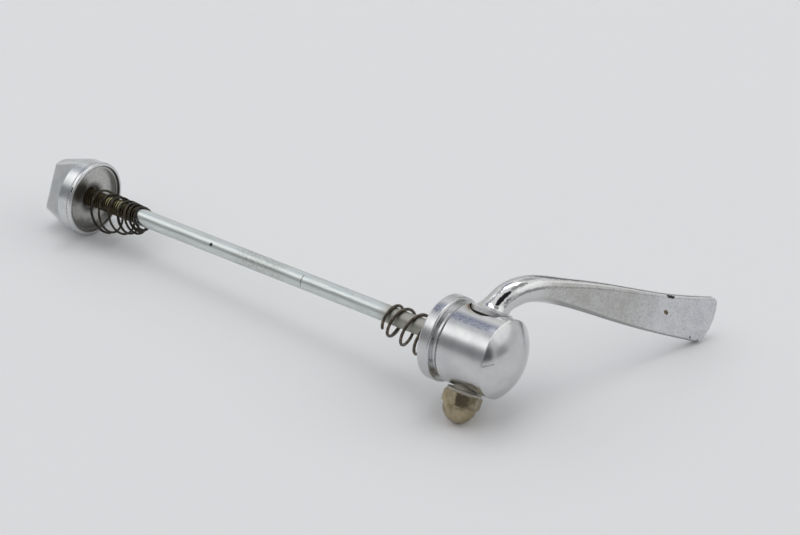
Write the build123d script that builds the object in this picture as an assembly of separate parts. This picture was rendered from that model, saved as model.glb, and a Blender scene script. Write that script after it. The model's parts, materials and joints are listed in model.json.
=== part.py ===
"""Quick release skewer for a bicycle hub, lying loose on a table.

Millimetres. The pieces are built in a working frame: x runs along the skewer from
the adjusting nut to the lever end, z runs up the lever's own shaft from the acorn
nut to the lever, and the origin is where the two cross. One placement then lays the
whole skewer on the table, resting on the nut's rim, the acorn nut and the blade's
lower corner.
"""

import os
from math import atan2, cos, hypot, pi, radians, sin

from build123d import *

# Fits between pieces that move on each other
RUNNING_FIT = 0.05
YOKE_PLAY = 0.40
YOKE_SIDE_PLAY = 0.15
EYE_BORE_GAP = 0.20
FOOT_GAP = 0.12
COUNTERBORE_GAP = 0.45
TAIL_PROUD = 0.45
SPRING_GAP = 0.03
SPRING_ROD_GAP = 0.08
SPRING_RECESS_GAP = 0.46

# Skewer rod
ROD_R = 2.5
ROD_END_X = -153.0
ROD_TIP_CHAMFER = 0.5
EYE_THICK = 4.4
EYE_WALL = 1.3
CAM_R = 4.0
CAM_THROW = 1.0
CAM_HALF = 2.8

# Lever position: angle from the skewer axis about the lever's shaft
LEVER_ANGLE = 63.7
CLOSED_ANGLE = 90.0

# Cam housing
CLAMP_X = -11.9
COLLAR_R = 12.1
COLLAR_STEP = 0.95
COLLAR_WIDTH = 3.7
COLLAR_EDGE = 0.6
GROOVE_DEPTH = 0.55
GROOVE_WIDTH = 1.3
GROOVE_RAMP = 0.9
BARREL_END_X = 8.6
DOME_RISE = 4.3
BORE_END_X = 7.6
CLAMP_FACE_WIDTH = 2.2
RECESS_DEPTH = 1.8
COUNTERBORE_DEPTH = 1.75

# Lever shaft and foot
JOURNAL_R = 5.05
TAIL_R = 3.4
STUB_R = 2.9
STUB_LENGTH = 5.4
FOOT_R = 5.7
FOOT_PROUD = 0.15

# Lever arm stations: reach, height above the foot, tilt, width, thickness, corner radius
ARM_STATIONS = (
    (0.00, -0.05, 0.0, 11.2, 11.2, 5.55),
    (0.70, 0.90, 6.0, 8.3, 8.4, 4.10),
    (1.75, 2.60, 15.0, 7.7, 7.8, 3.80),
    (3.50, 4.75, 30.0, 7.9, 7.8, 3.85),
    (6.10, 6.85, 46.0, 7.7, 7.6, 3.75),
    (9.30, 8.30, 64.0, 7.5, 7.2, 3.55),
    (13.00, 9.15, 76.0, 7.4, 6.4, 3.10),
    (17.50, 9.70, 82.0, 7.5, 5.4, 2.55),
    (24.50, 10.35, 84.5, 8.3, 4.4, 2.00),
    (36.00, 11.00, 85.5, 9.9, 3.6, 1.50),
    (48.00, 11.60, 85.5, 11.0, 3.1, 1.15),
    (58.00, 12.45, 85.5, 11.9, 2.8, 0.95),
    (66.50, 13.50, 85.5, 13.0, 2.6, 0.85),
    (74.00, 14.60, 85.5, 13.9, 2.5, 0.80),
)
BLADE_BOW = 1.0
BLADE_BOW_START = 30.0
TIP_REACH = 71.0
TIP_TOP_SETBACK = 1.1
TIP_FOOT_SETBACK = 2.1
TIP_TOP_RADIUS = 2.2
TIP_FOOT_RADIUS = 1.0
TIP_TRIM_START = 60.0

# Washer and acorn nut
WASHER_R = 4.9
WASHER_HOLE_R = 3.05
WASHER_THICK = 0.8
ACORN_FLATS = 9.6
ACORN_ROLL = -16.5
ACORN_HEX = 3.1
ACORN_CHAMFER = 0.4
ACORN_SHOULDER = 0.5
ACORN_DOME_R = 4.7
ACORN_DRILL = 6.2

# Adjusting nut
NUT_FACE_X = -140.4
NUT_RIM_R = 11.05
NUT_RIM_WIDTH = 1.3
NUT_RIM_EDGE = 0.5
NUT_BEAD_STEP = 0.35
NUT_BEAD_GAP = 0.35
NUT_BAND = 5.0
NUT_BAND_R = 10.95
NUT_LENGTH = 14.5
NUT_END_R = 8.2
NUT_END_EDGE = 1.3
NUT_FLATS = 10.0
NUT_FLAT_EDGE = 1.2
NUT_FLAT_ROLL = 187.5
CUP_RIM = 1.0
CUP_LEDGE = 0.6
CUP_LEDGE_WIDTH = 0.7
CUP_DEPTH = 1.8
THREAD_MOUTH = 1.0

# Conical wire springs, from the narrow tip to the wide seat: coil radii are to the wire's middle,
# the pitches share out the free length, lean is how far the slack coils tip on the rod, and
# seat_lean is the share of that left at the seat
LEVER_SPRING = {
    "wire_r": 0.44,
    "narrow": 4.0,
    "wide": 6.4,
    "cone_turns": 4.5,
    "pitches": (2.0, 5.0, 5.0, 5.0, 2.5),
    "tip_x": -30.0,
    "start": -117.0,
    "lean": 0.12,
    "seat_lean": 0.0,
}
NUT_SPRING = {
    "wire_r": 0.34,
    "narrow": 2.95,
    "wide": 6.2,
    "cone_turns": 7.0,
    "pitches": (2.0, 1.4, 1.0, 3.9, 2.2, 5.2),
    "tip_x": -120.7,
    "start": 19.5,
    "lean": 0.55,
    "seat_lean": 0.8,
}
NUT_SPRING_SLACK = 4.0
NUT_SPRING_DROP = 2.85
SEAT_TURNS = 0.75
RUNS_PER_TURN = 16
WIRE_SIDES = 8

# Derived sizes
BARREL_R = COLLAR_R - COLLAR_STEP
GROOVE_R = BARREL_R - GROOVE_DEPTH
RECESS_R = COLLAR_R - CLAMP_FACE_WIDTH
COLLAR_END_X = CLAMP_X + COLLAR_WIDTH
DOME_TIP_X = BARREL_END_X + DOME_RISE
COUNTERBORE_Z = BARREL_R - COUNTERBORE_DEPTH
FOOT_Z = COUNTERBORE_Z + FOOT_GAP
FOOT_TOP_Z = BARREL_R + FOOT_PROUD
TAIL_Z = -(BARREL_R + TAIL_PROUD)
ACORN_Z = TAIL_Z - WASHER_THICK
CAM_TURN = radians(LEVER_ANGLE - CLOSED_ANGLE)
CAM_X = CAM_THROW * cos(CAM_TURN)
CAM_Y = CAM_THROW * sin(CAM_TURN)
SLOT_R = CAM_R + YOKE_PLAY
EYE_R = SLOT_R + EYE_WALL
SLOT_SHIFT = CAM_THROW + YOKE_SIDE_PLAY
BORE_R = hypot(SLOT_SHIFT + EYE_R, EYE_THICK / 2) + EYE_BORE_GAP
CUP_MOUTH_R = NUT_RIM_R - CUP_RIM
CUP_R = CUP_MOUTH_R - CUP_LEDGE_WIDTH
LEVER_FRAME = Rot(0, 0, LEVER_ANGLE)


def bar_x(radius, x0, x1):
    """Round bar along the skewer from x0 to x1."""
    return extrude(Plane((x0, 0, 0), x_dir=(0, 1, 0), z_dir=(1, 0, 0)) * Circle(radius), x1 - x0)


def bar_z(radius, z0, z1):
    """Round bar along the lever's shaft from z0 to z1."""
    return extrude(Plane((0, 0, z0)) * Circle(radius), z1 - z0)


def corner(face, x, y):
    """Corner of a flat outline nearest to a point."""
    return face.vertices().sort_by_distance((x, y, 0))[0]


def make_rod():
    """Plain rod with a flat slotted eye at the lever end."""
    shank = bar_x(ROD_R, ROD_END_X, CAM_X - SLOT_R - EYE_WALL / 2)
    tip = shank.edges().sort_by(Axis.X)[0]
    shank = chamfer(tip, ROD_TIP_CHAMFER)
    lying = Pos(CAM_X, 0, 0) * Rot(0, 0, 90)
    outline = lying * SlotCenterToCenter(2 * SLOT_SHIFT, 2 * EYE_R)
    slot = lying * SlotCenterToCenter(2 * SLOT_SHIFT, 2 * SLOT_R)
    rod = shank + extrude(outline, EYE_THICK / 2, both=True)
    return rod - extrude(slot, EYE_THICK, both=True)


def make_housing():
    """Turned barrel with collar and dome, bored for the rod's eye and the lever's shaft."""
    ramp_x = COLLAR_END_X + GROOVE_WIDTH
    sphere_r = (BARREL_R ** 2 + DOME_RISE ** 2) / (2 * DOME_RISE)
    half_angle = atan2(BARREL_R, sphere_r - DOME_RISE) / 2
    sphere_x = DOME_TIP_X - sphere_r
    dome_mid = (sphere_x + sphere_r * cos(half_angle), sphere_r * sin(half_angle))
    side = Polyline(
        (DOME_TIP_X, 0),
        (CLAMP_X, 0),
        (CLAMP_X, COLLAR_R),
        (COLLAR_END_X, COLLAR_R),
        (COLLAR_END_X, GROOVE_R),
        (ramp_x, GROOVE_R),
        (ramp_x + GROOVE_RAMP, BARREL_R),
        (BARREL_END_X, BARREL_R),
    )
    dome = ThreePointArc((BARREL_END_X, BARREL_R), dome_mid, (DOME_TIP_X, 0))
    outline = make_face(side + dome)
    edges = [corner(outline, CLAMP_X, COLLAR_R), corner(outline, COLLAR_END_X, COLLAR_R)]
    outline = fillet(edges, COLLAR_EDGE)
    housing = revolve(outline, Axis.X)
    housing -= bar_x(BORE_R, CLAMP_X, BORE_END_X)
    housing -= bar_x(RECESS_R, CLAMP_X, CLAMP_X + RECESS_DEPTH)
    housing -= bar_z(FOOT_R + COUNTERBORE_GAP, COUNTERBORE_Z, FOOT_TOP_Z + BARREL_R)
    housing -= bar_z(JOURNAL_R + RUNNING_FIT, 0, BARREL_R)
    housing -= bar_z(TAIL_R + RUNNING_FIT, -2 * BARREL_R, 0)
    return housing


def arm_section(reach, height, tilt, width, thickness, radius):
    """One cross-section of the lever arm, square to the arm's run."""
    run = max(reach - BLADE_BOW_START, 0) / (TIP_REACH - BLADE_BOW_START)
    aim = radians(tilt)
    plane = Plane(
        origin=(reach, BLADE_BOW * run ** 2, FOOT_TOP_Z + height),
        x_dir=(cos(aim), 0, -sin(aim)),
        z_dir=(sin(aim), 0, cos(aim)),
    )
    return plane * RectangleRounded(width, thickness, radius)


def arm_edge(station, side):
    """Point on the arm's upper (side -1) or lower (side +1) edge in the arm's own plane."""
    reach, height, tilt, width = station[:4]
    aim = radians(tilt)
    half = side * width / 2
    return reach + half * cos(aim), FOOT_TOP_Z + height - half * sin(aim)


def blade_end():
    """Outline of the blade's bowed end with its two rounded corners."""
    top_near, top_far = arm_edge(ARM_STATIONS[-3], -1), arm_edge(ARM_STATIONS[-1], -1)
    foot_near, foot_far = arm_edge(ARM_STATIONS[-3], 1), arm_edge(ARM_STATIONS[-1], 1)

    def along(near, far, reach):
        share = (reach - near[0]) / (far[0] - near[0])
        return reach, near[1] + share * (far[1] - near[1])

    top = along(top_near, top_far, TIP_REACH - TIP_TOP_SETBACK)
    foot = along(foot_near, foot_far, TIP_REACH - TIP_FOOT_SETBACK)
    top_start = along(top_near, top_far, TIP_TRIM_START)
    foot_start = along(foot_near, foot_far, TIP_TRIM_START)
    bow = ThreePointArc(top, (TIP_REACH, (top[1] + foot[1]) / 2), foot)
    sides = Polyline(foot, foot_start, top_start, top)
    outline = make_face(bow + sides)
    outline = fillet(corner(outline, *top), TIP_TOP_RADIUS)
    return fillet(corner(outline, *foot), TIP_FOOT_RADIUS)


def make_lever():
    """Forged lever in one piece with its foot, journal, cam, tail and threaded stub."""
    arm = loft([arm_section(*station) for station in ARM_STATIONS])
    arm_plane = Plane((0, 0, 0), x_dir=(1, 0, 0), z_dir=(0, -1, 0))
    end_reach, end_height, _, end_width = ARM_STATIONS[-1][:4]
    length = end_reach + end_width - TIP_TRIM_START
    block = Pos(TIP_TRIM_START + length / 2, FOOT_TOP_Z + end_height) * Rectangle(length, 3 * end_width)
    arm -= extrude(arm_plane * (block - blade_end()), end_width, both=True)
    lever = LEVER_FRAME * arm
    lever += bar_z(FOOT_R, FOOT_Z, FOOT_TOP_Z)
    lever += bar_z(JOURNAL_R, CAM_HALF, FOOT_TOP_Z)
    lever += Pos(CAM_X, CAM_Y, 0) * Cylinder(CAM_R, 2 * CAM_HALF)
    lever += bar_z(TAIL_R, TAIL_Z, -CAM_HALF)
    lever += bar_z(STUB_R, TAIL_Z - STUB_LENGTH, TAIL_Z)
    return lever


def make_washer():
    """Plain washer between the shaft's tail and the acorn nut."""
    return bar_z(WASHER_R, ACORN_Z, TAIL_Z) - bar_z(WASHER_HOLE_R, ACORN_Z, TAIL_Z)


def make_acorn_nut():
    """Hexagon nut turned to a shoulder and a dome, with a blind hole for the stub."""
    corner_r = ACORN_FLATS / 2 / cos(pi / 6)
    shoulder_z = ACORN_Z - ACORN_HEX
    dome_z = shoulder_z - ACORN_SHOULDER
    tip_z = dome_z - ACORN_DOME_R
    dome_mid = (ACORN_DOME_R * sin(pi / 4), dome_z - ACORN_DOME_R * cos(pi / 4))
    hexagon = Rot(0, 0, ACORN_ROLL) * RegularPolygon(ACORN_FLATS / 2, 6, major_radius=False)
    bar = extrude(Plane((0, 0, ACORN_Z)) * hexagon, tip_z - ACORN_Z)
    side = Polyline(
        (0, tip_z),
        (0, ACORN_Z),
        (corner_r - ACORN_CHAMFER, ACORN_Z),
        (corner_r, ACORN_Z - ACORN_CHAMFER),
        (corner_r, shoulder_z),
        (ACORN_DOME_R, dome_z),
    )
    dome = ThreePointArc((ACORN_DOME_R, dome_z), dome_mid, (0, tip_z))
    turned = revolve(Plane.XZ * make_face(side + dome), Axis.Z)
    nut = bar & turned
    return nut - bar_z(STUB_R + RUNNING_FIT, ACORN_Z - ACORN_DRILL, ACORN_Z)


def make_adjusting_nut():
    """Cup-faced nut: round rim and band, then a cone with two flats for the fingers."""
    end_x = NUT_FACE_X - NUT_LENGTH
    band_x = NUT_FACE_X - NUT_BAND
    bead_x = NUT_FACE_X - NUT_RIM_WIDTH
    step_r = NUT_RIM_R - NUT_BEAD_STEP
    outline = make_face(
        Polyline(
            (NUT_FACE_X, 0),
            (NUT_FACE_X, NUT_RIM_R),
            (bead_x, NUT_RIM_R),
            (bead_x, step_r),
            (bead_x - NUT_BEAD_GAP, step_r),
            (bead_x - NUT_BEAD_GAP, NUT_BAND_R),
            (band_x, NUT_BAND_R),
            (end_x, NUT_END_R),
            (end_x, 0),
            close=True,
        )
    )
    outline = fillet(corner(outline, NUT_FACE_X, NUT_RIM_R), NUT_RIM_EDGE)
    outline = fillet(corner(outline, end_x, NUT_END_R), NUT_END_EDGE)
    nut = revolve(outline, Axis.X)
    nut -= bar_x(CUP_MOUTH_R, NUT_FACE_X - CUP_LEDGE, NUT_FACE_X)
    nut -= bar_x(CUP_R, NUT_FACE_X - CUP_DEPTH, NUT_FACE_X)
    nut -= bar_x(ROD_R + RUNNING_FIT, end_x, NUT_FACE_X)
    floor_x = NUT_FACE_X - CUP_DEPTH
    mouth = Polyline(
        (floor_x - THREAD_MOUTH, 0),
        (floor_x - THREAD_MOUTH, ROD_R),
        (floor_x, ROD_R + THREAD_MOUTH),
        (floor_x, 0),
        close=True,
    )
    nut -= revolve(make_face(mouth), Axis.X)
    grip = NUT_LENGTH - NUT_BAND
    for roll in (NUT_FLAT_ROLL, NUT_FLAT_ROLL + 180):
        spare = Pos(band_x - grip / 2, NUT_FLATS / 2 + NUT_BAND_R / 2, 0) * Box(grip, NUT_BAND_R, 3 * NUT_BAND_R)
        nut -= Rot(roll, 0, 0) * spare
    flats = nut.faces().filter_by(GeomType.PLANE).filter_by(lambda face: abs(face.normal_at().X) < 0.5)
    return fillet(flats.edges().filter_by(lambda edge: edge.center().X < band_x - RUNNING_FIT), NUT_FLAT_EDGE)


def coil_points(spec, seat_x, most_drop, hang):
    """Middle of the wire from the tip to the seat, each coil hanging on the rod or as far as it can."""
    way = 1 if seat_x > spec["tip_x"] else -1
    pitches = spec["pitches"]
    free_turns = len(pitches)
    scale = abs(seat_x - spec["tip_x"]) / sum(pitches)
    points = []
    for run in range(round((free_turns + SEAT_TURNS) * RUNS_PER_TURN) + 1):
        turn = run / RUNS_PER_TURN
        along = scale * sum(pitch * min(max(turn - n, 0), 1) for n, pitch in enumerate(pitches))
        share = min(turn / spec["cone_turns"], 1)
        radius = spec["narrow"] + share * (spec["wide"] - spec["narrow"])
        drop = min(radius - spec["wire_r"] - ROD_R - SPRING_ROD_GAP, most_drop)
        angle = radians(spec["start"]) - way * 2 * pi * turn
        y, z = radius * cos(angle), radius * sin(angle)
        slack = spec["seat_lean"] + (1 - spec["seat_lean"]) * min(max(free_turns - turn, 0), 1)
        tip_over = -spec["lean"] * slack * (y * hang[0] + z * hang[1])
        points.append((spec["tip_x"] + way * (along + tip_over), y + drop * hang[0], z + drop * hang[1]))
    return points


def make_spring(spec, seat_x, most_drop, hang):
    """Conical spring of many-sided wire, bent in short straight runs."""
    path = Polyline(*coil_points(spec, seat_x, most_drop, hang))
    section = Plane(origin=path @ 0, z_dir=path % 0) * RegularPolygon(spec["wire_r"], WIRE_SIDES)
    return sweep(section, path=path, transition=Transition.RIGHT)


def surface_points(piece):
    """Points on a piece's surface, close enough together to find where it touches the table."""
    found, _ = piece.tessellate(0.01)
    return [(point.X, point.Y, point.Z) for point in found]


def resting_up(clouds):
    """Upward direction in the working frame when all three clouds of points touch the table."""

    def upward(pitch, roll):
        return sin(pitch), -cos(pitch) * sin(roll), cos(pitch) * cos(roll)

    def gaps(pitch, roll):
        up = upward(pitch, roll)
        low = [min(p[0] * up[0] + p[1] * up[1] + p[2] * up[2] for p in cloud) for cloud in clouds]
        return low[1] - low[0], low[2] - low[0]

    pitch, roll, step = 0.0, 0.6, 1e-4
    for _ in range(10):
        here = gaps(pitch, roll)
        by_pitch = [(b - a) / step for a, b in zip(here, gaps(pitch + step, roll))]
        by_roll = [(b - a) / step for a, b in zip(here, gaps(pitch, roll + step))]
        scale = by_pitch[0] * by_roll[1] - by_roll[0] * by_pitch[1]
        pitch -= (here[0] * by_roll[1] - by_roll[0] * here[1]) / scale
        roll -= (by_pitch[0] * here[1] - here[0] * by_pitch[1]) / scale
    return upward(pitch, roll)


rod = make_rod()
housing = make_housing()
lever = make_lever()
washer = make_washer()
acorn = make_acorn_nut()
nut = make_adjusting_nut()

# Rest: nut rim, acorn nut and blade corner on the table, skewer along x seen from above
blade = [point for point in surface_points(lever) if hypot(point[0], point[1]) > TIP_REACH / 2]
up = Vector(*resting_up((surface_points(nut), surface_points(acorn), blade)))
hang_length = hypot(up.Y, up.Z)
hang = (-up.Y / hang_length, -up.Z / hang_length)
recess_seat_x = CLAMP_X + RECESS_DEPTH - LEVER_SPRING["wire_r"] - SPRING_GAP
recess_drop = RECESS_R - LEVER_SPRING["wide"] - LEVER_SPRING["wire_r"] - SPRING_RECESS_GAP
lever_spring = make_spring(LEVER_SPRING, recess_seat_x, recess_drop, hang)
nut_spring = make_spring(NUT_SPRING, NUT_FACE_X + NUT_SPRING_SLACK, NUT_SPRING_DROP, hang)

ahead = Vector(1, 0, 0) - up * up.X
table = Plane(origin=(0, 0, 0), x_dir=ahead, z_dir=up)
pieces = {
    "skewer_rod": rod,
    "cam_housing": housing,
    "cam_lever": lever,
    "washer": washer,
    "acorn_nut": acorn,
    "lever_side_spring": lever_spring,
    "nut_side_spring": nut_spring,
    "adjusting_nut": nut,
}
laid = {name: table.to_local_coords(piece) for name, piece in pieces.items()}
box = Compound(children=[Part() + piece for piece in laid.values()]).bounding_box()
shift = Pos(-(box.min.X + box.max.X) / 2, -(box.min.Y + box.max.Y) / 2, -box.min.Z)

os.makedirs("parts", exist_ok=True)
for name, piece in laid.items():
    export_step(shift * piece, f"parts/{name}.step")
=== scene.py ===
"""Looks of the quick release skewer: plated metal, wear, grime, soft light and the photograph's camera."""

import json
from math import cos, pi, radians, sin, tan

import bpy
from mathutils import Matrix, Vector

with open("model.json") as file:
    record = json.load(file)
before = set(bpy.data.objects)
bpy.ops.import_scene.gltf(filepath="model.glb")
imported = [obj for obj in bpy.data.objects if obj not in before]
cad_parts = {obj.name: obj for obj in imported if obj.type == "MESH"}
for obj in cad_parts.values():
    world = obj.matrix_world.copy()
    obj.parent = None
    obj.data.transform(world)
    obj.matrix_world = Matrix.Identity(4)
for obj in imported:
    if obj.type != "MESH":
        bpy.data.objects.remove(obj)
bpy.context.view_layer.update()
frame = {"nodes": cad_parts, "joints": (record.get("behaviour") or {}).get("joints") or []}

# Photograph: image size, where the rod and the lever's shaft cross in it, and the camera
IMAGE_WIDTH = 800
IMAGE_HEIGHT = 535
CROSSING_PIXEL = (478.8, 349.5)
CAMERA_AZIMUTH = 37.64
CAMERA_ELEVATION = 33.21
CAMERA_ROLL = 0.47
CAMERA_DEPTH = 0.7461
CAMERA_CLIP = (0.01, 20.0)
LENS = 125.36
SENSOR = 36.0

# The skewer's own axes, from the joints: along the rod, across it, and up the lever's shaft
joints = {joint["name"]: joint for joint in frame["joints"]}
CROSSING = Vector(joints["lever_swing"]["pos_m"])
ALONG = Vector(joints["nut_turn"]["axis"])
SHAFT = Vector(joints["lever_swing"]["axis"])
ACROSS = SHAFT.cross(ALONG)

# The lever's own axes at rest, by its angle from the rod's line: along the blade and out of its flat side
LEVER_ANGLE = radians(63.7)
BLADE = cos(LEVER_ANGLE) * ALONG + sin(LEVER_ANGLE) * ACROSS
FLANK = SHAFT.cross(BLADE)

# The frame is in metres, and the sizes and wear of the part below are in millimetres
MM_PER_METRE = 1000.0

# Sizes of the part that the wear follows, with places along the rod from the crossing
ROD_RADIUS = 2.5
BARREL_END = 8.6
FOOT_POCKET = 6.15
NUT_FACE = -140.4
NUT_BAND = 5.0
GRIP_START = NUT_FACE - NUT_BAND
CUP_DEPTH = 1.8
CUP_FLOOR = NUT_FACE - CUP_DEPTH
CUP_RADIUS = 10.05
THREAD_END = -123.0
THREAD_PITCH = 0.8

# Springs: radius of the wire, and how its flat sides are rounded, with the weld in metres
WIRE_RADIUS = {"lever_side_spring": 0.44, "nut_side_spring": 0.34}
WIRE_LEVELS = 2
WELD_DISTANCE = 0.000005
FLAT_ANGLE = radians(1.0)
# Share of its radius that the wire loses when it is subdivided
SUBDIVIDED_LOSS = 0.1

# Wear, and painted shade, shadow, highlights and reflections: a span or pair of angles gives a mark's two
# ends, and other pairs give where it starts and is full

# On the housing: angles round the rod, a span and sides along it, heights, and places along, across and up
# Painted bluish reflection: its band of angles round the barrel, its span along the rod and its spot on
# the collar
BLUE_REFLECTION_ANGLES = (radians(139), radians(144))
BLUE_REFLECTION_SPAN = (-5.5, 5.5)
COLLAR_REFLECTION_PLACE = (-10.6, -9.7, 7.2)
GROOVE_DIRT_PLACES = ((-8.1, -10.5, -1.1), (-8.0, -8.3, -6.5), (-7.9, -5.55, -9.0))
DOME_SCRATCH_PLACES = [(8.9 + 0.27 * n, -10.3 + 0.35 * n, -2.9 + 0.24 * n) for n in range(7)]
# Painted highlight on the dome's edge: the angles round the rod where it is painted
EDGE_HIGHLIGHT_ANGLES = (radians(112), radians(156))
# Painted shade in the pocket round the lever's foot starts and is full between these heights
POCKET_HEIGHT = (8.9, 9.3)
STAIN_HEIGHT = (8.5, 9.3)
STAIN_SIDE = (3.0, -1.0)
RUST_SIDE = (-2.2, -4.2)

# On the adjusting nut: a radius, a height, a span along the rod, and places along, across and up
GREASE_MOUTH_RADIUS = (5.6, 3.2)
GREASE_LOW_HEIGHT = (-5.5, -8.0)
GREASE_SMEAR_PLACE = (CUP_FLOOR, -6.2, 0.8)
GREASE_GAP_PLACE = (CUP_FLOOR, -3.0, -5.75)
RIM_SCRATCH_SPAN = (NUT_FACE - 0.9, NUT_FACE - 0.6)
RIM_SCRATCH_PLACE = (NUT_FACE - 0.7, -11.0, 1.0)

# On the lever: reaches and a span along the blade, heights, radii, and places by reach, flank and height
BLADE_REACH = (9.0, 15.0)
SHOULDER_REACH = (12.0, 20.0)
UNDERSIDE_REACH = (14.0, 20.0)
TIP_REACH = (38.0, 56.0)
# Painted highlight band across the blade starts and ends here
HIGHLIGHT_SPAN = (51.5, 53.5)
FOOT_HEIGHT = (12.4, 11.6)
FOOT_RADIUS = (4.9, 5.3)
# Painted shadow in the seam between the lever's foot and the housing starts and is full between these
SEAM_HEIGHT = (10.10, 9.85)
SEAM_RADIUS = (5.2, 5.5)
TAIL_HEIGHT = (-9.0, -10.0)
CHIP_LINE_PLACES = [(53.1 + 0.3 * n, -1.0, 28.46 + 0.03 * n) for n in range(7)]
EDGE_CHIP_PLACES = ((65.1, -0.6, 19.2), (67.9, -0.4, 19.0))
FLECK_PLACES = ((53.8, -1.1, 24.2), (54.4, -1.1, 23.9))

# On the rod: spans along it, a start along it, a side across it, and places along, across and up
SCORED_SPAN = (-55.0, -36.0)
STAIN_SPAN = (-81.0, -70.0)
DULL_START = (-34.0, -28.0)
SCRATCH_SPAN = (-60.2, -60.0)
SCRATCH_SIDE = (-1.6, -2.1)
NICK_PLACE = (-93.5, -2.49, 0.17)
# Painted highlights on the thread's crests at these places
THREAD_HIGHLIGHT_PLACES = ((-133.7, -2.2, 1.2), (-129.8, -2.2, 1.2))

# On the acorn nut: places along, across and up
# Painted dark reflection on the front face of the hex, centred here
DARK_FACE_PLACE = (2.4, -4.0, -14.0)
RUB_PLACE = (4.9, -2.0, -14.5)

# Colours, where a pair is the darker and the paler one of a patchy surface
HOUSING_CHROME = ((0.5841, 0.59, 0.5959), (0.66, 0.66, 0.66))
# Painted bluish reflection, speckled, on the chrome
BLUE_REFLECTION = (0.13, 0.15, 0.22)
FOOT_STAIN = (0.40, 0.37, 0.28)
RUST = (0.16, 0.085, 0.035)
# Painted white highlight line on the dome's edge
EDGE_HIGHLIGHT = (0.95, 0.95, 0.95)
# Near black for groove dirt, a dome scratch and painted shade in the gap round the lever's foot
DIRT_AND_GAP_SHADE = (0.02, 0.02, 0.02)
NUT_CHROME = ((0.6208, 0.64, 0.6464), (0.71, 0.71, 0.71))
DULL_CUP = ((0.44, 0.44, 0.42), (0.56, 0.56, 0.54))
# Dark brown of the grease in the cup, also used for painted shade round the cup's lip
GREASE_AND_LIP_SHADE = (0.040, 0.033, 0.022)
LEVER_CHROME = (0.64, 0.64, 0.64)
LEVER_FOOT = (0.74, 0.74, 0.74)
WARM_BLADE = ((0.49, 0.485, 0.46), (0.595, 0.60, 0.59))
# Paler, cooler blade towards the tip: painted light, as if the tip bent towards the lamps
LIT_TIP_BLADE = ((0.60, 0.61, 0.63), (0.72, 0.725, 0.745))
# Painted highlight across the blade where its paler tip begins
BLADE_HIGHLIGHT = (0.76, 0.76, 0.76)
# Dark grey for the pits, also used for painted shade along the blade's rounded shoulders
PITS_AND_SHOULDER_SHADE = (0.20, 0.20, 0.20)
# Painted shade on the blade's downward facing edge
UNDERSIDE_SHADE = (0.18, 0.18, 0.18)
OILED_TAIL = (0.52, 0.50, 0.41)
FLECK = (0.14, 0.10, 0.055)
# Near black for chips, also used for the painted shadow in the seam at the foot
CHIP_AND_SEAM_SHADOW = (0.022, 0.017, 0.012)
ZINC = ((0.6045, 0.65, 0.6305), (0.741, 0.78, 0.7644))
ROD_STAIN = (0.34, 0.325, 0.275)
SCRATCH = (0.05, 0.05, 0.05)
# Painted shade in the thread's roots, over dark oil
THREAD_ROOT_SHADE = (0.022, 0.018, 0.010)
# Oily thread crests, and the painted highlight they take at a few places
THREAD_CREST = ((0.14, 0.115, 0.065), (0.56, 0.52, 0.30))
GOLD = ((0.32, 0.262, 0.165), (0.48, 0.41, 0.28))
FRECKLE = (0.17, 0.13, 0.08)
# Painted dark reflection on one face of the hex
DARK_FACE_REFLECTION = (0.145, 0.112, 0.072)
RUBBED_GOLD = (0.66, 0.58, 0.42)
WASHER = ((0.42, 0.40, 0.33), (0.56, 0.54, 0.46))
BROWN_WIRE = ((0.075, 0.062, 0.048), (0.19, 0.155, 0.12))
BLACK_WIRE = ((0.028, 0.026, 0.023), (0.085, 0.074, 0.052))

# Floor, with its side in metres
FLOOR_SIZE = 3.0
FLOOR_PALE = (0.92, 0.925, 0.935)
FLOOR_SHADE = tuple(0.985 * part for part in FLOOR_PALE)

# Distance of the soft lamps, in metres
LAMP_DISTANCE = 1.6
# Soft lamps: name, azimuth, elevation, width and height in degrees, radiance
SOFTBOXES = (
    ("high_softbox", -146.0, 71.0, 36.0, 20.0, 1.4),
    ("near_softbox", -64.0, 46.0, 40.0, 14.0, 0.50),
    ("far_softbox", 122.0, 31.0, 46.0, 32.0, 0.30),
)

# Tent round the skewer: its colours below and above two elevations
TENT_LOW = (0.63, 0.635, 0.64)
TENT_HIGH = (0.95, 0.955, 0.96)
TENT_ELEVATIONS = (radians(15), radians(50))
# Darker patches of the tent: azimuth, elevation, radius and soft edge in degrees, colour
TENT_PATCHES = (
    (-170.0, 44.0, 7.0, 8.0, (0.50, 0.50, 0.52)),
    (-122.0, 51.0, 8.0, 7.0, (0.33, 0.36, 0.45)),
    (-101.0, 57.0, 4.0, 6.0, (0.42, 0.45, 0.53)),
    (-84.0, 58.0, 4.0, 6.0, (0.54, 0.55, 0.59)),
    (130.0, 66.0, 9.0, 8.0, (0.36, 0.36, 0.37)),
    (-42.0, 18.0, 8.0, 12.0, (0.22, 0.225, 0.24)),
    (0.0, 18.0, 20.0, 14.0, (0.34, 0.34, 0.35)),
    (45.0, 20.0, 18.0, 12.0, (0.28, 0.28, 0.29)),
    (102.0, 3.0, 7.0, 11.0, (0.34, 0.34, 0.35)),
    (68.0, 16.0, 10.0, 11.0, (0.10, 0.10, 0.11)),
    (75.0, 6.0, 4.0, 7.0, (0.08, 0.08, 0.09)),
    (52.0, 62.0, 14.0, 8.0, (0.02, 0.02, 0.025)),
    (-166.0, 8.0, 11.0, 8.0, (0.24, 0.245, 0.25)),
)


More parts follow.
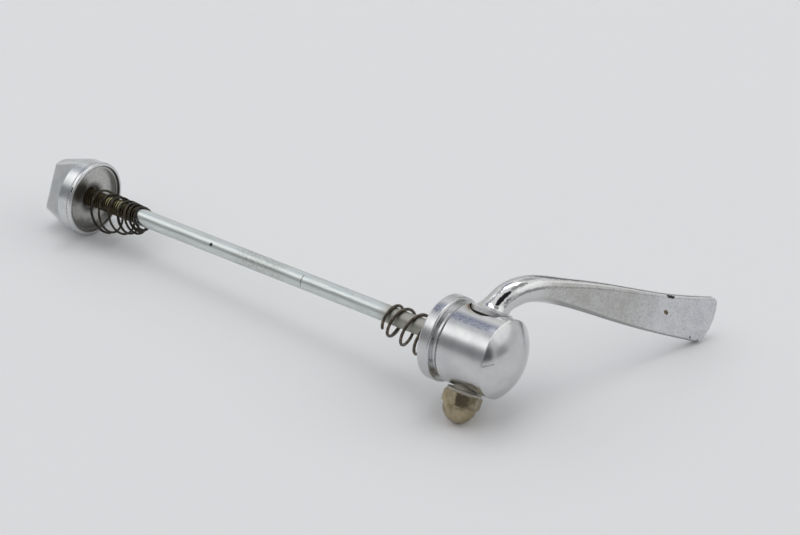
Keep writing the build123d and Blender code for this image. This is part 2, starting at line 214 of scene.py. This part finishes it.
class Look:
    """One material or sky, built from short calls for the nodes it needs."""

    EDGE_SAMPLES = 8

    def __init__(self, name, store=None, shader="Principled BSDF"):
        self.material = (bpy.data.materials if store is None else store).new(name)
        self.material.use_nodes = True
        self.nodes = self.material.node_tree.nodes
        self.links = self.material.node_tree.links
        self.shader = self.nodes[shader]

    def put(self, value, socket):
        """Link a node's output, or set a value; a colour is given by red, green and blue."""
        if isinstance(value, bpy.types.NodeSocket):
            self.links.new(value, socket)
        elif socket.type == "RGBA":
            socket.default_value = (*value, 1.0)
        else:
            socket.default_value = value

    def surface(self, color, roughness, metallic=0.0):
        """Colour and gloss of the surface, as values or as outputs of nodes."""
        for name, value in (("Base Color", color), ("Roughness", roughness), ("Metallic", metallic)):
            self.put(value, self.shader.inputs[name])

    def math(self, operation, *values):
        node = self.nodes.new("ShaderNodeMath")
        node.operation = operation
        for value, socket in zip(values, node.inputs):
            self.put(value, socket)
        return node.outputs[0]

    def vector(self, operation, first, second):
        node = self.nodes.new("ShaderNodeVectorMath")
        node.operation = operation
        self.put(first, node.inputs[0])
        self.put(second, node.inputs[1])
        is_number = operation in ("DOT_PRODUCT", "DISTANCE")
        return node.outputs["Value" if is_number else "Vector"]

    def combine(self, x, y, z):
        node = self.nodes.new("ShaderNodeCombineXYZ")
        for value, socket in zip((x, y, z), node.inputs):
            self.put(value, socket)
        return node.outputs[0]

    def enlarge(self, vector, factor):
        return self.vector("MULTIPLY", vector, (factor, factor, factor))

    def offset(self):
        """Surface point from the crossing, in millimetres along the frame's axes."""
        point = self.nodes.new("ShaderNodeTexCoord").outputs["Object"]
        return self.enlarge(self.vector("SUBTRACT", point, CROSSING), MM_PER_METRE)

    def along(self, offset, axis):
        return self.vector("DOT_PRODUCT", offset, axis)

    def parts(self, offset, *axes):
        """Lengths of an offset along each of the axes."""
        return [self.along(offset, axis) for axis in axes]

    def facing(self, axis):
        """1 where the surface looks along the axis, 0 where it is edge on and -1 where it looks back."""
        normal = self.nodes.new("ShaderNodeTexCoord").outputs["Normal"]
        return self.vector("DOT_PRODUCT", normal, axis)

    def chain(self, operation, values):
        total = values[0]
        for value in values[1:]:
            total = self.math(operation, total, value)
        return total

    def plus(self, *values):
        return self.chain("ADD", values)

    def times(self, *values):
        return self.chain("MULTIPLY", values)

    def most(self, *values):
        return self.chain("MAXIMUM", values)

    def length(self, *values):
        """Length of a vector with these parts."""
        squares = [self.times(value, value) for value in values]
        return self.math("SQRT", self.plus(*squares))

    def step(self, value, low, high):
        """0 below low, 1 above high and smooth between; the other way round if low is above high."""
        node = self.nodes.new("ShaderNodeMapRange")
        node.interpolation_type = "SMOOTHSTEP"
        self.put(value, node.inputs["Value"])
        node.inputs["From Min"].default_value = min(low, high)
        node.inputs["From Max"].default_value = max(low, high)
        node.inputs["To Min"].default_value = 0.0 if low < high else 1.0
        node.inputs["To Max"].default_value = 1.0 if low < high else 0.0
        return node.outputs[0]

    def band(self, value, low, high, soft):
        """1 between low and high, falling to 0 over soft on each side."""
        return self.times(self.step(value, low - soft, low), self.step(value, high + soft, high))

    def scale(self, value, low, high):
        """A 0 to 1 value spread from low to high."""
        return self.math("MULTIPLY_ADD", value, high - low, low)

    def between(self, share, first, second):
        """First value where share is 0, second where it is 1."""
        return self.plus(first, self.times(share, self.math("SUBTRACT", second, first)))

    def noise(self, vector, scale, detail=3.0, roughness=0.55):
        node = self.nodes.new("ShaderNodeTexNoise")
        self.put(vector, node.inputs["Vector"])
        node.inputs["Scale"].default_value = scale
        node.inputs["Detail"].default_value = detail
        node.inputs["Roughness"].default_value = roughness
        return node.outputs["Fac"]

    def ragged(self, offset, scale, amount):
        """The same point pushed about by up to about half the amount, for uneven outlines."""
        node = self.nodes.new("ShaderNodeTexNoise")
        self.put(offset, node.inputs["Vector"])
        node.inputs["Scale"].default_value = scale
        push = self.vector("SUBTRACT", node.outputs["Color"], (0.5, 0.5, 0.5))
        return self.vector("ADD", offset, self.enlarge(push, amount))

    def spot(self, offset, place, radius, soft):
        """1 within radius of a place that is given as an offset, falling to 0 over soft."""
        away = self.vector("DISTANCE", offset, place)
        return self.step(away, radius + soft, radius)

    def spots(self, offset, places, radius, soft):
        return self.most(*[self.spot(offset, place, radius, soft) for place in places])

    def mix(self, share, first, second):
        """First colour where share is 0, second where it is 1."""
        node = self.nodes.new("ShaderNodeMix")
        node.data_type = "RGBA"
        self.put(share, node.inputs["Factor"])
        colors = [socket for socket in node.inputs if socket.type == "RGBA"]
        self.put(first, colors[0])
        self.put(second, colors[1])
        return next(socket for socket in node.outputs if socket.type == "RGBA")

    def bump(self, height, strength, distance, edge):
        """Fine relief, over edges that are rubbed round to a small radius; both lengths in metres."""
        rounded = self.nodes.new("ShaderNodeBevel")
        rounded.samples = self.EDGE_SAMPLES
        self.put(edge, rounded.inputs["Radius"])
        node = self.nodes.new("ShaderNodeBump")
        self.put(rounded.outputs[0], node.inputs["Normal"])
        self.put(height, node.inputs["Height"])
        node.inputs["Strength"].default_value = strength
        node.inputs["Distance"].default_value = distance
        self.put(node.outputs[0], self.shader.inputs["Normal"])


def skewer_place(along, across, up):
    """Millimetres in the skewer's own axes as an offset along the frame's axes."""
    return along * ALONG + across * ACROSS + up * SHAFT


def lever_place(reach, flank, height):
    """Millimetres in the lever's own axes as an offset along the frame's axes."""
    return reach * BLADE + flank * FLANK + height * SHAFT


def skewer_places(places):
    return [skewer_place(*place) for place in places]


def lever_places(places):
    return [lever_place(*place) for place in places]


def plated_housing():
    """Chrome: turned barrel, polished dome, a painted bluish reflection with speckle, a painted highlight
    on the dome's edge, dirty groove, painted shade in the pocket round the lever's foot, and rust round
    the lever's foot.
    """
    look = Look("plated_housing")
    offset = look.offset()
    along, across, up = look.parts(offset, ALONG, ACROSS, SHAFT)
    polar = look.math("ARCTAN2", up, across)
    from_shaft = look.length(along, across)
    turned = look.noise(look.combine(look.times(along, 9.0), look.times(polar, 0.6), 0.0), scale=1.0)
    cloudy = look.noise(offset, scale=0.22)
    specks = look.noise(offset, scale=2.0, detail=4.0, roughness=0.65)
    fine = look.noise(offset, scale=2.4, detail=4.0, roughness=0.8)
    uneven = look.ragged(offset, scale=1.2, amount=0.5)
    dome = look.step(along, BARREL_END - 0.1, BARREL_END + 0.1)

    # Painted bluish reflection: a speckled band round the barrel and a spot on the collar
    on_barrel = look.band(polar, *BLUE_REFLECTION_ANGLES, soft=radians(7))
    barrel_reflection = look.times(on_barrel, look.band(along, *BLUE_REFLECTION_SPAN, soft=2.5))
    collar_reflection = look.spot(offset, skewer_place(*COLLAR_REFLECTION_PLACE), radius=0.6, soft=1.8)
    density = look.most(barrel_reflection, collar_reflection)
    speckle = look.step(look.plus(fine, look.times(density, 0.10)), 0.50, 0.68)
    blue_reflection = look.times(density, look.scale(speckle, 0.18, 0.80))

    in_groove = look.spots(offset, skewer_places(GROOVE_DIRT_PLACES), radius=0.35, soft=0.6)
    dirt = look.times(in_groove, look.step(specks, 0.45, 0.55))
    # Painted shade in the gap between the lever's foot and its pocket; the groove dirt and dome scratch
    # are real marks
    in_pocket = look.step(from_shaft, FOOT_POCKET + 0.15, FOOT_POCKET - 0.05)
    pocket_shade = look.times(in_pocket, look.step(up, *POCKET_HEIGHT))
    scratch = look.spots(uneven, skewer_places(DOME_SCRATCH_PLACES), radius=0.10, soft=0.35)
    dirt_and_gap_shade = look.most(look.times(dirt, 0.8), pocket_shade, look.times(scratch, 0.4))
    # Painted highlight: a broken white line along the barrel's edge at the dome, on its upper side
    edge_highlight = look.times(
        look.band(along, BARREL_END - 0.32, BARREL_END + 0.15, soft=0.08),
        look.band(polar, *EDGE_HIGHLIGHT_ANGLES, soft=radians(6)),
        look.step(specks, 0.30, 0.44),
    )
    high = look.step(up, *STAIN_HEIGHT)
    round_foot = look.times(look.band(from_shaft, FOOT_POCKET, FOOT_POCKET + 0.8, soft=1.2), high, 0.45)
    stain = look.times(round_foot, look.step(along, *STAIN_SIDE))
    pocket_edge = look.times(look.band(from_shaft, FOOT_POCKET, FOOT_POCKET + 0.4, soft=0.35), high)
    rust = look.times(pocket_edge, look.step(along, *RUST_SIDE), look.step(specks, 0.38, 0.52))

    metal = look.mix(look.step(cloudy, 0.35, 0.7), *HOUSING_CHROME)
    reflected = look.mix(blue_reflection, metal, BLUE_REFLECTION)
    stained = look.mix(stain, reflected, FOOT_STAIN)
    rusted = look.mix(rust, stained, RUST)
    colored = look.mix(edge_highlight, rusted, EDGE_HIGHLIGHT)
    polish = look.between(dome, look.scale(turned, 0.18, 0.27), look.scale(cloudy, 0.15, 0.22))
    look.surface(
        color=look.mix(dirt_and_gap_shade, colored, DIRT_AND_GAP_SHADE),
        roughness=look.most(polish, look.times(look.most(dirt_and_gap_shade, rust), 0.6)),
        metallic=look.scale(look.most(dirt_and_gap_shade, rust, edge_highlight), 1.0, 0.2),
    )
    grain = look.times(specks, look.scale(dome, 0.8, 0.1))
    near_dome = look.band(along, BARREL_END - 0.6, BARREL_END + 0.6, soft=0.1)
    edge = look.scale(near_dome, 0.00015, 0.00065)
    look.bump(look.plus(look.times(turned, 0.35), grain), strength=0.12, distance=0.00004, edge=edge)
    return look.material


def plated_nut():
    """Chrome of the adjusting nut: rubbed flats, a dull cup, grease round the thread and painted shade
    round the cup's lip.
    """
    look = Look("plated_nut")
    offset = look.offset()
    along, across, up = look.parts(offset, ALONG, ACROSS, SHAFT)
    radius = look.length(across, up)
    cloudy = look.noise(offset, scale=0.3)
    specks = look.noise(offset, scale=1.4, detail=5.0, roughness=0.7)
    rubbing_and_highlights = look.noise(look.combine(along, look.times(up, 4.0), 0.0), scale=1.3)
    uneven = look.ragged(offset, scale=0.45, amount=3.0)
    inside = look.step(radius, CUP_RADIUS + 0.25, CUP_RADIUS + 0.05)
    cup = look.times(inside, look.step(along, CUP_FLOOR - 0.5, CUP_FLOOR - 0.1))
    grip = look.step(along, GRIP_START + 0.1, GRIP_START - 0.1)

    mouth = look.step(radius, *GREASE_MOUTH_RADIUS)
    smear = look.spot(uneven, skewer_place(*GREASE_SMEAR_PLACE), radius=1.6, soft=3.6)
    low = look.times(look.step(look.along(uneven, SHAFT), *GREASE_LOW_HEIGHT), 0.6)
    gap = look.spot(uneven, skewer_place(*GREASE_GAP_PLACE), radius=0.6, soft=1.4)
    grease = look.times(cup, look.most(mouth, smear, low), look.scale(gap, 0.95, 0.1))
    # Painted shade: a dark ring inside the cup's lip
    at_lip = look.band(radius, CUP_RADIUS - 0.2, CUP_RADIUS + 0.15, soft=0.1)
    lip_shade = look.times(at_lip, look.step(along, CUP_FLOOR, NUT_FACE - 0.4))
    scratch = look.times(
        look.band(along, *RIM_SCRATCH_SPAN, soft=0.12),
        look.spot(uneven, skewer_place(*RIM_SCRATCH_PLACE), radius=0.8, soft=0.4),
    )
    dark = look.most(grease, scratch, look.times(lip_shade, 0.75))

    metal = look.mix(look.step(cloudy, 0.35, 0.7), *NUT_CHROME)
    dull = look.mix(look.step(specks, 0.35, 0.65), *DULL_CUP)
    polish = look.between(cup, look.scale(rubbing_and_highlights, 0.16, 0.30), look.scale(specks, 0.26, 0.48))
    look.surface(
        color=look.mix(dark, look.mix(cup, metal, dull), GREASE_AND_LIP_SHADE),
        roughness=look.most(polish, look.times(grip, look.scale(rubbing_and_highlights, 0.40, 0.54))),
        metallic=look.scale(dark, 1.0, 0.35),
    )
    look.bump(look.noise(offset, scale=2.2), strength=0.08, distance=0.00003, edge=0.00008)
    return look.material


def plated_lever():
    """Polished neck and satin mottled blade that pits towards the tip, where it is also painted paler as
    if lit, with a painted highlight band, painted shade on its shoulders and underside, chips, and painted
    shadow in the dark seam at the foot.
    """
    look = Look("plated_lever")
    offset = look.offset()
    reach, flank, height = look.parts(offset, BLADE, FLANK, SHAFT)
    from_shaft = look.length(reach, flank)
    mottle = look.noise(offset, scale=1.5, detail=5.0, roughness=0.65)
    fine = look.noise(offset, scale=1.9, detail=4.0, roughness=0.7)
    clouds = look.noise(offset, scale=0.28, detail=5.0, roughness=0.6)
    uneven = look.ragged(offset, scale=2.0, amount=0.9)
    wavy = look.ragged(offset, scale=0.35, amount=6.0)
    flat = look.math("ABSOLUTE", look.facing(FLANK))
    blade = look.times(look.step(reach, *BLADE_REACH), look.step(flat, 0.70, 0.82))
    # Painted shade along the blade's rounded shoulders, where its flat side turns
    shoulder_shade = look.times(look.band(flat, 0.80, 0.91, soft=0.05), look.step(reach, *SHOULDER_REACH), 0.45)
    # Painted shade where the blade's edge faces down
    underside_shade = look.times(look.step(look.facing(SHAFT), -0.45, -0.80), look.step(reach, *UNDERSIDE_REACH))
    tip = look.step(reach, *TIP_REACH)
    foot = look.times(look.step(height, *FOOT_HEIGHT), look.step(from_shaft, *FOOT_RADIUS))
    tail = look.step(height, *TAIL_HEIGHT)

    pits = look.times(look.step(fine, 0.57, 0.68), look.scale(tip, 0.25, 0.90), blade)
    # Painted highlight: a pale wavy band across the blade
    highlight_band = look.times(look.band(look.along(wavy, BLADE), *HIGHLIGHT_SPAN, soft=2.5), 0.35)
    chip_line = look.spots(uneven, lever_places(CHIP_LINE_PLACES), radius=0.38, soft=0.15)
    edge_chips = look.spots(uneven, lever_places(EDGE_CHIP_PLACES), radius=0.15, soft=0.25)
    fleck = look.spots(uneven, lever_places(FLECK_PLACES), radius=0.42, soft=0.25)
    # Painted shadow on the foot's side down in the seam
    seam_shadow = look.times(look.step(height, *SEAM_HEIGHT), look.step(from_shaft, *SEAM_RADIUS))
    dark = look.most(chip_line, edge_chips, seam_shadow)

    light = look.step(look.plus(look.times(mottle, 0.6), look.times(clouds, 0.4)), 0.40, 0.60)
    # The blade is painted paler towards the tip, as painted light
    plain = look.mix(tip, look.mix(light, *WARM_BLADE), look.mix(light, *LIT_TIP_BLADE))
    toned = look.mix(highlight_band, plain, BLADE_HIGHLIGHT)
    satin = look.mix(look.most(look.times(pits, 0.6), shoulder_shade), toned, PITS_AND_SHOULDER_SHADE)
    edged = look.mix(look.times(underside_shade, 0.7), look.mix(blade, LEVER_CHROME, satin), UNDERSIDE_SHADE)
    oiled = look.mix(tail, look.mix(foot, edged, LEVER_FOOT), OILED_TAIL)
    flecked = look.mix(fleck, oiled, FLECK)
    rough = look.most(look.times(foot, look.scale(mottle, 0.25, 0.5)), look.times(tail, 0.5))
    polish = look.most(rough, look.between(blade, 0.055, look.scale(mottle, 0.24, 0.32)))
    look.surface(
        color=look.mix(dark, flecked, CHIP_AND_SEAM_SHADOW),
        roughness=look.most(polish, look.times(dark, 0.6)),
        metallic=look.scale(look.most(dark, fleck, tail), 1.0, 0.2),
    )
    forged = look.times(look.noise(offset, scale=0.5, detail=2.0), look.scale(blade, 1.1, 0.10))
    look.bump(look.plus(look.times(pits, -0.15), forged), strength=0.5, distance=0.0002, edge=0.00015)
    return look.material


def plated_rod():
    """Zinc plated rod: drawn streaks along it, scratches, a stain, and an oily thread at the nut end, with
    painted shade in its roots and painted highlights on its crests.
    """
    look = Look("plated_rod")
    offset = look.offset()
    along, across, up = look.parts(offset, ALONG, ACROSS, SHAFT)
    polar = look.math("ARCTAN2", up, across)
    around = look.times(polar, ROD_RADIUS)
    drawn = look.noise(look.combine(look.times(along, 0.12), look.times(around, 5.0), 0.0), scale=1.0)
    hair = look.noise(look.combine(look.times(along, 0.22), look.times(around, 9.0), 3.0), scale=1.0)
    specks = look.noise(offset, scale=1.8, detail=4.0)

    scored = look.times(look.step(hair, 0.60, 0.68), look.band(along, *SCORED_SPAN, soft=8.0), 0.6)
    nick = look.spot(offset, skewer_place(*NICK_PLACE), radius=0.42, soft=0.2)
    scratch = look.times(look.band(along, *SCRATCH_SPAN, soft=0.12), look.step(across, *SCRATCH_SIDE), 0.7)
    stain = look.times(look.band(along, *STAIN_SPAN, soft=6.0), look.step(specks, 0.35, 0.7), 0.5)
    dull = look.step(along, *DULL_START)

    # Oily thread painted dark in its roots as shade and lighter on its crests, with painted highlights at
    # a few places
    turns = look.math("SUBTRACT", look.times(along, 1 / THREAD_PITCH), look.times(polar, 0.5 / pi))
    ridge = look.math("SINE", look.times(turns, 2 * pi))
    threaded = look.step(along, THREAD_END + 0.5, THREAD_END - 0.5)
    rubbing_and_highlights = look.spots(offset, skewer_places(THREAD_HIGHLIGHT_PLACES), radius=0.9, soft=1.2)
    oily_thread_shade = look.mix(look.step(ridge, -0.7, 0.7), THREAD_ROOT_SHADE, look.mix(rubbing_and_highlights, *THREAD_CREST))

    zinc = look.mix(look.step(drawn, 0.35, 0.65), *ZINC)
    stained = look.mix(look.most(stain, look.times(dull, 0.8)), zinc, ROD_STAIN)
    marked = look.mix(look.most(scored, nick, scratch), stained, SCRATCH)
    look.surface(
        color=look.mix(threaded, marked, oily_thread_shade),
        roughness=look.between(dull, look.scale(drawn, 0.26, 0.42), 0.5),
        metallic=1.0,
    )
    height = look.plus(look.times(ridge, threaded), look.times(drawn, 0.06))
    look.bump(height, strength=0.6, distance=0.00025, edge=0.0001)
    return look.material


def tarnished_nut():
    """Acorn nut: golden brown, with a painted dark reflection on one face and a rubbed edge."""
    look = Look("tarnished_nut")
    offset = look.offset()
    patches = look.noise(offset, scale=0.5, detail=5.0, roughness=0.6)
    grain = look.noise(offset, scale=2.2, detail=4.0)
    uneven = look.ragged(offset, scale=0.9, amount=2.4)
    # Painted dark reflection on the front face of the hex
    dark_face_reflection = look.spot(uneven, skewer_place(*DARK_FACE_PLACE), radius=1.5, soft=0.9)
    rub = look.spot(uneven, skewer_place(*RUB_PLACE), radius=0.3, soft=0.6)
    gold = look.mix(look.step(patches, 0.30, 0.70), *GOLD)
    freckled = look.mix(look.times(look.step(grain, 0.60, 0.74), 0.5), gold, FRECKLE)
    brown = look.mix(look.times(dark_face_reflection, 0.85), freckled, DARK_FACE_REFLECTION)
    look.surface(
        color=look.mix(look.times(rub, 0.7), brown, RUBBED_GOLD),
        roughness=look.scale(grain, 0.26, 0.44),
        metallic=0.85,
    )
    look.bump(look.plus(grain, patches), strength=0.18, distance=0.00008, edge=0.0003)
    return look.material


def spring_wire(name, colors):
    """Oiled spring wire with brown traces."""
    look = Look(name)
    offset = look.offset()
    patches = look.noise(offset, scale=0.9)
    oiled = look.mix(look.step(patches, 0.40, 0.68), *colors)
    look.surface(color=oiled, roughness=look.scale(patches, 0.28, 0.50), metallic=0.7)
    look.bump(look.noise(offset, scale=3.0), strength=0.15, distance=0.00004, edge=0.00005)
    return look.material


def washer_steel():
    """Plain washer, dull and patchy."""
    look = Look("washer_steel")
    patches = look.noise(look.offset(), scale=1.4)
    colored = look.mix(look.step(patches, 0.40, 0.68), *WASHER)
    look.surface(color=colored, roughness=look.scale(patches, 0.40, 0.60), metallic=0.7)
    look.bump(patches, strength=0.10, distance=0.00004, edge=0.0001)
    return look.material


def dress(node, material):
    mesh = frame["nodes"][node].data
    mesh.materials.clear()
    mesh.materials.append(material)


def round_wire(node):
    """The many-sided wire of a spring, rounded by subdivision and brought back to its full radius."""
    spring = frame["nodes"][node]
    if "custom_normal" in spring.data.attributes:
        spring.data.attributes.remove(spring.data.attributes["custom_normal"])
    weld = spring.modifiers.new("weld", "WELD")
    weld.merge_threshold = WELD_DISTANCE
    flats = spring.modifiers.new("flats", "DECIMATE")
    flats.decimate_type = "DISSOLVE"
    flats.angle_limit = FLAT_ANGLE
    smooth = spring.modifiers.new("round", "SUBSURF")
    smooth.levels = WIRE_LEVELS
    smooth.render_levels = WIRE_LEVELS
    full = spring.modifiers.new("full", "DISPLACE")
    full.mid_level = 0.0
    full.strength = SUBDIVIDED_LOSS * WIRE_RADIUS[node] / MM_PER_METRE
    for face in spring.data.polygons:
        face.use_smooth = True


def make_floor():
    bpy.ops.mesh.primitive_plane_add(size=FLOOR_SIZE)
    floor = bpy.context.object
    floor.name = "floor"
    look = Look("floor")
    cloudy = look.noise(look.offset(), scale=0.01)
    look.surface(color=look.mix(cloudy, FLOOR_SHADE, FLOOR_PALE), roughness=0.8)
    floor.data.materials.append(look.material)


def toward(azimuth, elevation):
    """Direction by azimuth from the near side, turning to the lever's end, and elevation."""
    turn = radians(azimuth)
    rise = radians(elevation)
    return Vector((sin(turn) * cos(rise), -cos(turn) * cos(rise), sin(rise)))


def softbox(name, azimuth, elevation, width, height, radiance):
    """Soft lamp far enough off to look much the same from the whole skewer."""
    lamp = bpy.data.lights.new(name, "AREA")
    lamp.shape = "RECTANGLE"
    lamp.size = 2 * LAMP_DISTANCE * tan(radians(width / 2))
    lamp.size_y = 2 * LAMP_DISTANCE * tan(radians(height / 2))
    lamp.energy = radiance * pi * lamp.size * lamp.size_y
    box = bpy.data.objects.new(name, lamp)
    box.location = LAMP_DISTANCE * toward(azimuth, elevation)
    box.rotation_euler = box.location.to_track_quat("Z", "Y").to_euler()
    bpy.context.scene.collection.objects.link(box)


def make_tent():
    """Pale sky that brightens upwards, with darker patches for the metal to mirror."""
    tent = Look("tent", bpy.data.worlds, "Background")
    bpy.context.scene.world = tent.material
    ray = tent.nodes.new("ShaderNodeTexCoord").outputs["Generated"]
    height = tent.along(ray, (0.0, 0.0, 1.0))
    rise = tent.step(height, *[sin(elevation) for elevation in TENT_ELEVATIONS])
    color = tent.mix(rise, TENT_LOW, TENT_HIGH)
    for azimuth, elevation, radius, soft, shade in TENT_PATCHES:
        nearness = tent.along(ray, toward(azimuth, elevation))
        share = tent.step(nearness, cos(radians(radius + soft)), cos(radians(radius)))
        color = tent.mix(share, color, shade)
    tent.put(color, tent.shader.inputs["Color"])


def make_camera():
    """Camera that puts the crossing of rod and lever shaft on its pixel in the photograph."""
    turn = (
        Matrix.Rotation(radians(CAMERA_AZIMUTH), 3, "Z")
        @ Matrix.Rotation(radians(90 - CAMERA_ELEVATION), 3, "X")
        @ Matrix.Rotation(radians(CAMERA_ROLL), 3, "Z")
    )
    pixel = SENSOR / IMAGE_WIDTH / LENS * CAMERA_DEPTH
    right = (CROSSING_PIXEL[0] - IMAGE_WIDTH / 2) * pixel
    down = (CROSSING_PIXEL[1] - IMAGE_HEIGHT / 2) * pixel
    crossing_seen = Vector((right, -down, -CAMERA_DEPTH))
    data = bpy.data.cameras.new("camera")
    data.lens = LENS
    data.sensor_width = SENSOR
    data.clip_start, data.clip_end = CAMERA_CLIP
    camera = bpy.data.objects.new("camera", data)
    camera.matrix_world = Matrix.Translation(CROSSING - turn @ crossing_seen) @ turn.to_4x4()
    bpy.context.scene.collection.objects.link(camera)
    bpy.context.scene.camera = camera


# The dressed skewer, its floor, light and camera
dress("skewer_rod", plated_rod())
dress("cam_housing", plated_housing())
dress("cam_lever", plated_lever())
dress("washer", washer_steel())
dress("acorn_nut", tarnished_nut())
dress("adjusting_nut", plated_nut())
dress("lever_side_spring", spring_wire("brown_wire", BROWN_WIRE))
dress("nut_side_spring", spring_wire("black_wire", BLACK_WIRE))
for spring_node in WIRE_RADIUS:
    round_wire(spring_node)

make_floor()
for settings in SOFTBOXES:
    softbox(*settings)
make_tent()
make_camera()
bpy.context.scene.view_settings.view_transform = "Standard"
